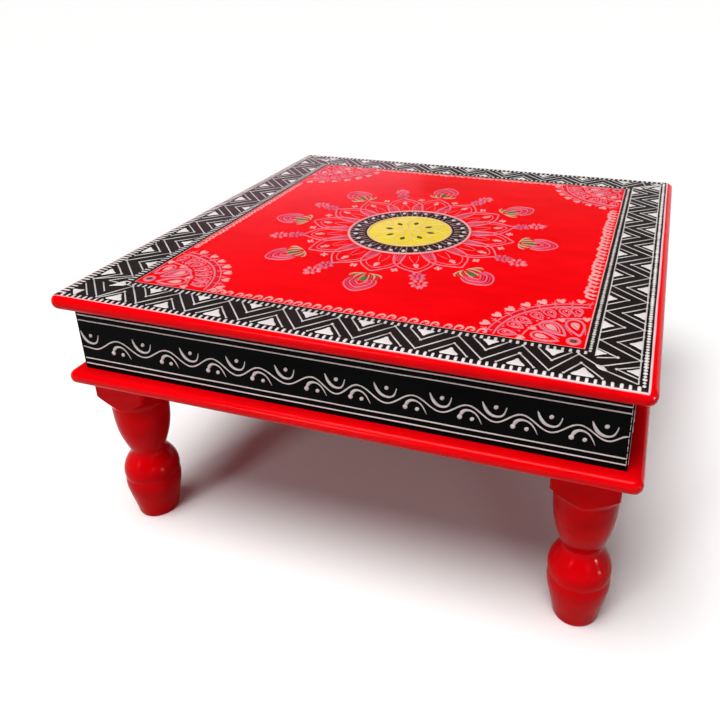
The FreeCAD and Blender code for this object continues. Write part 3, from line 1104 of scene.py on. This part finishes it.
def drop_fan(quarter):
    """Three large drops round the ring in the corner, with small hearts and strokes between them."""
    for degrees, radius in CORNER_HEARTS:
        outline = heart(6.2 * mm, 6.8 * mm)
        roundel_fills.pillow(placed(outline, quarter.at(radius, degrees), quarter.outward(degrees)))
    for degrees, radius, width, length, seed in DROPS_MM:
        turn = quarter.outward(degrees)
        paisley(quarter.at(radius, degrees), turn, width, length, 2.0)
        seed_foot = quarter.at(radius + length * 0.36, degrees)
        roundel_fills.pillow(placed(teardrop(seed * mm, seed * 1.8 * mm), seed_foot, turn), 0.8 * mm)
    paisley(quarter.at(26, 43.6), quarter.outward(43.6), 9.2, 16.5, 1.1)
    for degrees in (30, 31.8, 57, 58.8):
        hatch(quarter, 24, 37, degrees)
    for degrees in (5, 29, 59, 85):
        stroke = [quarter.at(radius, degrees + shaky(1)) for radius in (20, 35)]
        roundels.line(stroke, [0.9 * mm, 1.6 * mm])
    for degrees in BETWEEN_PAISLEYS:
        for radius in (48, 60.2):
            roundels.dot(quarter.at(radius, degrees + shaky(0.8)), 2.0 * mm)
    roundels.line(ring(quarter.at(EYE_RADIUS, 45), 4.0 * mm, 16), 3.0 * mm, closed=True)
    roundel_eyes.dot(quarter.at(EYE_RADIUS, 45), 4.6 * mm)


for i, corner in enumerate(row_corners("field")):
    quarter = Quarter(corner, i * math.pi / 2)
    for band in (arcs, crown, paisley_row, drop_fan):
        band(quarter)
lay_pieces(roundels, roundel_fills, roundel_hatching, roundel_eyes)

# %% [markdown]
# The middle of the field is a mandala. A yellow disc with eight dark seeds sits in a black ring,
# and sixteen arched petals grow from it. It isn't quite in the middle of the board, as in the
# photograph: the painter set the compass by eye.

# %% Mandala disc and ring
HUB = (-4.7 * mm, -8.2 * mm)
DISC_RADIUS, BLACK_RADIUS, PALE_RADIUS = 40.4 * mm, 56.0 * mm, 57.2 * mm
PETALS = 16


def hub(radius_mm, degrees):
    """A point of the mandala, by its distance from the middle and its angle."""
    return polar(HUB, radius_mm * mm, degrees * DEGREE)


def up_from_hub(degrees):
    """The turn that stands an outline on the mandala, pointing away from its middle."""
    return degrees * DEGREE - math.pi / 2


film_between("mandala_black_ring", ring(HUB, BLACK_RADIUS, 72), ring(HUB, DISC_RADIUS - 0.6 * mm, 72))
disc = PaintLayer("mandala_yellow_disc", lemon_yellow, "yellow_paint")
disc.pillow(ring(HUB, DISC_RADIUS, 72), 1.2 * mm)
lay_pieces(disc)

# %% [markdown]
# Paint on paint has to start from the height of the layer under it, so what is drawn on the disc
# is laid a little higher than what is drawn on the board.

# %% Seeds and petals of the disc
DISC_TOP = (PILLOW_WALL + PILLOW_RISE) * BEAD_FLATNESS


def lay_on_disc(shape):
    """Lays a drawing on top of the yellow disc."""
    lay_on_board(shape)
    for corner in shape.verts:
        corner.co.z += DISC_TOP


seeds = PaintLayer("mandala_seeds", olive_dark, "black_paint")
disc_petals = PaintLayer("mandala_disc_petals", cream, "yellow_paint")
for degrees in range(0, 360, 45):
    turn = up_from_hub(degrees) + shaky(0.1)
    seeds.pillow(placed(leaf(4.8 * mm, 8.2 * mm), hub(16.2 + shaky(0.5), degrees), turn), 0.6 * mm)
    petal = placed(leaf(15 * mm, 33 * mm, 8), hub(4.5, degrees), turn)
    disc_petals.line(petal, 1.1 * mm, closed=True, smooth=True)
    vein = [hub(6, degrees + 22.5), hub(20, degrees + 22.5 + shaky(1)), hub(37, degrees + 22.5)]
    disc_petals.line(vein, 0.7 * mm, smooth=True)
disc_petals.line(ring(HUB, DISC_RADIUS - 1.2 * mm, 60), 2.0 * mm, closed=True)
lay_pieces(seeds, disc_petals, lay=lay_on_disc)

# %% [markdown]
# The black ring holds a row of worn white dots, and short mauve strokes reach for them from both
# sides. A pale line closes the ring, and the petals start from it.

# %% Marks of the black ring
RING_MARKS, RING_STROKES = 28, 56
ring_marks = PaintLayer("mandala_ring_marks", worn_white)
ring_strokes = PaintLayer("mandala_ring_strokes", mauve_grey)
pale_ring = PaintLayer("mandala_pale_ring", blush_white)
for step in range(RING_MARKS):
    degrees = step * 360 / RING_MARKS + shaky(1)
    ring_marks.dot(hub(50.6 + shaky(0.8), degrees), 3.8 * mm, 5.0 * mm, degrees * DEGREE + shaky(0.4))
for step in range(RING_STROKES):
    degrees = (step + 0.5) * 360 / RING_STROKES
    inner_stroke = [hub(42.2, degrees), hub(48.8 + shaky(1), degrees + shaky(1.5))]
    ring_strokes.line(inner_stroke, 1.7 * mm, ends=(0.9, 0.7))
    outer_stroke = [hub(51.2 + shaky(1), degrees + shaky(1.5)), hub(55.6, degrees)]
    ring_strokes.line(outer_stroke, 1.6 * mm, ends=(0.7, 0.9))
pale_ring.line(ring(HUB, PALE_RADIUS, 80), 2.8 * mm, closed=True)
lay_pieces(ring_marks, ring_strokes, pale_ring)

# %% [markdown]
# Each petal is one smooth line drawn from the ring up over its tip and back, and neighbours cross
# on their way. The curved triangles under the crossings are hatched, a small flower stands in each
# petal, and a blossom of five dots sits in each notch between two tips.

# %% Mandala petals
PETAL_HALF = 360 / PETALS / 2
LINING_POINTS = [(58.4, 5.8), (67, 8.2), (75, 9.8), (82, 8.2), (88, 4.8)]
petals = PaintLayer("mandala_petals", blush_pink)
blossoms = PaintLayer("mandala_blossoms", blush_white)
hatching = PaintLayer("mandala_hatching", lilac)


def over_the_tip(sides, degrees, top):
    """The points of a petal's line: up one side, over the tip and down the other side."""
    left, right = ([hub(radius, degrees + way * turn) for radius, turn in sides] for way in (-1, 1))
    return left + [top] + right[::-1]


def petal(degrees):
    """A petal with its lining and the small flower that stands in it."""
    tip, swell = 99.5 + shaky(1.2), about(1, 0.05)
    sides = [(57.2, 16.4), (66, 15.8 * swell), (75, 14.4 * swell), (83, 11.6), (90, 7.6), (96, 2.6)]
    petals.line(over_the_tip(sides, degrees, hub(tip + 1, degrees + shaky(0.5))), 1.6 * mm, smooth=True)
    petals.line(over_the_tip(LINING_POINTS, degrees, hub(tip - 6, degrees)), 0.9 * mm, smooth=True)
    upright = up_from_hub(degrees) + shaky(0.15)
    blossoms.pillow(placed(teardrop(3.6 * mm, 8.5 * mm), hub(80.5, degrees), upright), 0.5 * mm)
    for lean in (-1, 1):
        side_leaf = placed(leaf(2.2 * mm, 6 * mm), hub(80, degrees + lean * 0.8), upright - lean * 0.7)
        blossoms.pillow(side_leaf, 0.4 * mm)
        stalk = [hub(radius, degrees + lean * turn) for radius, turn in ((63, 3.5), (70, 3.6), (77.5, 0.8))]
        petals.line(stalk, 0.9 * mm, smooth=True)


def notch(degrees):
    """The blossom between two tips, and the hatching under the crossing."""
    for k in range(4):
        blossoms.dot(polar(hub(93.8, degrees), 2.2 * mm, k * math.pi / 2 + degrees - PETAL_HALF), 2.8 * mm)
    blossoms.dot(hub(93.8, degrees), 1.8 * mm)
    for k in (-1.5, -0.5, 0.5, 1.5):
        hatching.line([hub(58.8, degrees + k * 2.4), hub(77 - 4.5 * abs(k), degrees + k * 1.1)], 1.0 * mm,
                      ends=(1, 0.6))


for step in range(PETALS):
    petal(step * 2 * PETAL_HALF)
    notch((step * 2 + 1) * PETAL_HALF)
lay_pieces(petals, blossoms, hatching)

# %% [markdown]
# Past the petals stand two kinds of flower in turn. The large one is a green bud between cream
# strokes, inside nested arches of pink and magenta, with green and cream strokes fanned out at its
# foot. It is drawn upright from its foot, and then turned and moved to its place on the field.

# %% Large flowers
FLOWER_PITCH = 45
ARM_WIDTHS = (1.1, 1.6, 2.0, 1.5)
GREEN_ARM_SHARE = 0.6
buds = PaintLayer("flower_buds", leaf_green)
cream_arms = PaintLayer("flower_cream_leaves", dull_cream)
domes = PaintLayer("flower_domes", blush_pink)
dome_stripes = PaintLayer("flower_dome_stripes", magenta)
ARMS = ((6.2, 13, buds), (8.6, 12.5, cream_arms), (11.2, 11, buds), (13.8, 8.5, cream_arms))


def large_flower(degrees):
    """A bud inside nested arches, standing on the tip of a petal."""
    foot, turn = hub(103.5, degrees), up_from_hub(degrees) + shaky(0.06)

    def at(*points):
        return placed([(x * mm, y * mm) for x, y in points], foot, turn)

    buds.pillow(placed(teardrop(5.2 * mm, 13.5 * mm), at((0, 3.5))[0], turn), 0.8 * mm)
    for k, layer in enumerate((domes, dome_stripes, domes, dome_stripes, domes)):
        half, tip = 14.2 - 2.2 * k, 36.5 - 3.4 * k
        sides = [(0.80 * half, 13), (half, 19 - 0.3 * k), (0.74 * half, tip * 0.80)]
        left = [(-x, y) for x, y in sides]
        arch = at(*left, (0, tip + 1.5), *sides[::-1])
        layer.line(arch, (1.6 - 0.08 * k) * mm, smooth=True, ends=(0.8, 0.8))
    for lean in (-1, 1):
        cream_arms.line(at((lean * 1.6, 3.5), (lean * 4.4, 9), (lean * 2.8, 17.5)), 1.4 * mm, smooth=True)
        for spread, rise, layer in ARMS:
            reach = lean * spread
            arm = at((lean * 1.2, 1), (reach * 0.62, 2.2), (reach, rise * 0.6), (reach, rise))
            fat = 1.0 if layer is cream_arms else GREEN_ARM_SHARE
            layer.line(arm, [fat * width * mm for width in ARM_WIDTHS], smooth=True)

# %% [markdown]
# The small flower is a lilac blossom with a pink one above it, and a pair of leaves on each side.
# A blossom is a ring of long dots set down round a middle dot, so one loop makes it.

# %% Small flowers
small_lilac = PaintLayer("small_flowers_lilac", lilac)
small_pale = PaintLayer("small_flowers_pale", blush_pink)


def blossom(layer, place, turn, reach, size):
    """A ring of seven long dots round a middle dot."""
    for k in range(7):
        angle = turn + 2 * math.pi * k / 7
        layer.dot(polar(place, reach, angle), size, size * 1.5, angle)
    layer.dot(place, size * 0.8)


def small_flower(degrees):
    """Two blossoms, one above the other, with a pair of leaves on each side."""
    turn = degrees * DEGREE
    blossom(small_lilac, hub(106.5, degrees), turn, 5.0 * mm, 3.4 * mm)
    blossom(small_pale, hub(121.5, degrees), turn, 5.6 * mm, 3.6 * mm)
    for lean in (-1, 1):
        low_leaf = [hub(111, degrees), hub(113.5, degrees + lean * 1.8), hub(112, degrees + lean * 3.4)]
        small_pale.line(low_leaf, [0.9 * mm, 1.3 * mm, 0.9 * mm], smooth=True)
        high_leaf = leaf(2.6 * mm, 7 * mm)
        upright = up_from_hub(degrees) - lean * 0.25
        small_pale.pillow(placed(high_leaf, hub(125, degrees + lean * 1.2), upright), 0.5 * mm)


for degrees in range(0, 360, FLOWER_PITCH):
    large_flower(degrees)
    small_flower(degrees + FLOWER_PITCH / 2)
lay_pieces(buds, cream_arms, domes, dome_stripes, small_lilac, small_pale)

# %% [markdown]
# On each side of the apron box a vine runs between two pairs of lines. The vine is a wave, a cup
# with a dot sits in each hollow and a bow with a dot hangs under each crest. A cup and a bow are one
# stroke each, fat where the paint lands and thin where it runs out, so each point has its width.

# %% Cups and bows of the apron vine
VINE_CREST, VINE_TROUGH = 29.4 * mm, 19.2 * mm
CUP_POINTS = [(-0.50, 15.0), (-0.42, 10.4), (-0.18, 5.6), (0.14, 4.6), (0.42, 7.2), (0.49, 13.4)]
CUP_WIDTHS = [1.2 * mm, 2.7 * mm, 2.6 * mm, 1.6 * mm, 1.3 * mm, 1.1 * mm]
BOW_POINTS = [(-0.44, -10.8), (-0.40, -7.8), (-0.22, -4.4), (0.06, -4.0), (0.36, -7.2), (0.52, -13.8)]
BOW_WIDTHS = [1.5 * mm, 3.0 * mm, 2.2 * mm, 1.4 * mm, 1.2 * mm, 0.9 * mm]


def cup(layer, run):
    """A thick armed cup in a hollow of the vine, with a dot in it."""
    width, tilt = about(16.4 * mm, 0.05), shaky(0.6 * mm)
    points = [(run + x * width, VINE_TROUGH + y * mm + tilt * x) for x, y in CUP_POINTS]
    layer.line(points, CUP_WIDTHS, smooth=True)
    layer.dot((run + 0.9 * mm, VINE_TROUGH + 12.2 * mm + shaky(0.4 * mm)), 3.2 * mm, 3.9 * mm, 0.9)


def bow_under(layer, run):
    """A ball that tails off over a dot, under a crest of the vine."""
    width = about(16.6 * mm, 0.05)
    layer.line([(run + x * width, VINE_CREST + y * mm) for x, y in BOW_POINTS], BOW_WIDTHS, smooth=True)
    layer.dot((run - 0.44 * width, VINE_CREST - 10.6 * mm), 3.8 * mm, 4.2 * mm, 1.3)
    layer.dot((run + 1.6 * mm, VINE_CREST - 10.8 * mm), 3.1 * mm, 3.8 * mm, 0.9)

# %% [markdown]
# The front's crests are where the painter put them, and the other three sides, which the photograph
# doesn't show, are spaced by the same hand. The drawing is made flat, with x along the board and y
# up, and then stood on the board's face.

# %% Apron vine
apron_low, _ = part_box("apron_front")
APRON_FACE, FOOT_HEIGHT = -apron_low.y, apron_low.z
FRONT_CRESTS_MM = (-179, -133.3, -92, -52, -8.3, 27.3, 69.2, 108.5, 145.3, 183.4)
APRON_LINES_MM = (4.8, 9.7, 44.3, 49.1)
WAVE_STEPS = 8


def lay_on_apron(side):
    """Stands a flat drawing on one side of the apron box."""
    up_the_face = Matrix.Translation((0, -APRON_FACE, FOOT_HEIGHT)) @ Matrix.Rotation(math.pi / 2, 4, "X")
    stand = Matrix.Rotation(side_turn(side), 4, "Z") @ up_the_face

    def lay(shape):
        bmesh.ops.transform(shape, matrix=stand, verts=shape.verts)
    return lay


def vine_wave(knots):
    """Points along the vine, which eases from knot to knot as a wave does."""
    wave = []
    for (x0, y0), (x1, y1) in zip(knots, knots[1:]):
        for i in range(WAVE_STEPS):
            ease = (1 - math.cos(math.pi * i / WAVE_STEPS)) / 2
            wave.append((x0 + (x1 - x0) * i / WAVE_STEPS, y0 + (y1 - y0) * ease))
    return wave + [knots[-1]]


def vine(side, crests_mm):
    """The whole drawing of one side of the apron."""
    layer = PaintLayer("apron_vine_" + side, chalk_white)
    end = APRON_FACE - 1.2 * mm
    crests = [crest * mm for crest in crests_mm]
    hollows = [(a + b) / 2 for a, b in zip(crests, crests[1:])]
    first, last = crests[0] - 24 * mm, crests[-1] + 18 * mm
    knots = [(first, VINE_TROUGH)]
    for i, crest in enumerate(crests):
        knots.append((crest, VINE_CREST + shaky(0.5 * mm)))
        if i < len(hollows):
            knots.append((hollows[i], VINE_TROUGH + shaky(0.5 * mm)))
    knots += [(last, VINE_TROUGH + 1.5 * mm), (end, VINE_CREST - 2.5 * mm)]
    wave = [(-end, VINE_TROUGH + 1.2 * mm)] + vine_wave(knots)
    layer.line(wave, [about(1.25 * mm, 0.12) for _ in wave])
    for run in [first - 2 * mm] + hollows + [last - 2.5 * mm]:
        cup(layer, run + shaky(0.6 * mm))
    for run in crests:
        bow_under(layer, run + 1.4 * mm + shaky(0.6 * mm))
    for height in APRON_LINES_MM:
        long_line(layer, (-end, height * mm), (end, height * mm), 1.15, 1.15, 0.2 * mm)
    for step in range(9):
        low = (4 + step * 5.6) * mm
        layer.line([(end, low), (end + shaky(0.1 * mm), low + 4.4 * mm)], 0.7 * mm)
    lay_pieces(layer, lay=lay_on_apron(side))


vine("front", FRONT_CRESTS_MM)
for side in SIDE_ORDER[1:]:
    vine(side, [-180 + 40.3 * step + shaky(2.5) for step in range(10)])
